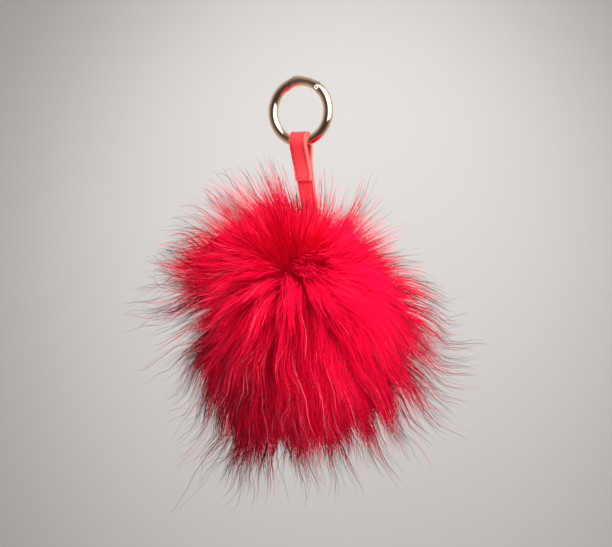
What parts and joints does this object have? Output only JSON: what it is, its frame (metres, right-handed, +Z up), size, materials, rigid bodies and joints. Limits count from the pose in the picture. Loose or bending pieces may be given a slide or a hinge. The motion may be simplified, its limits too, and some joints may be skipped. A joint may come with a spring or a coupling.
{
  "type": "fur pom pom bag charm on a spring-gate ring",
  "caption": "Round pom pom of long combed fur hanging from a stitched leather loop strap on a round metal ring whose spring gate swings inwards.",
  "frame": {"origin": "the inside top of the ring, in the middle of its wire, where the charm hangs", "axes": "+Z up along the hanging direction, +Y through the ring from its front to its back, +X across the ring towards the gate's rivet"},
  "size_m": [0.1598, 0.1487, 0.204],
  "materials": {
    "pale_gold": "polished",
    "red_leather": "cross-hatched grain, stitched",
    "red_fur": "long dyed fur with dark guard hair tips"
  },
  "bodies": {
    "charm": {"ring_body": "pale_gold", "gate_rivet": "pale_gold", "strap": "red_leather", "fur_pom": "red_fur"},
    "gate": {"gate": "pale_gold"}
  },
  "joints": [
    {"name": "gate_hinge", "type": "hinge", "parent": "charm", "child": "gate", "pos_m": [0.00964, 0, -0.00101], "axis": [0, -1, 0], "range_deg": [0, 40], "stiffness_Nm_per_rad": 0.01, "springref_deg": -85.94}
  ]
}
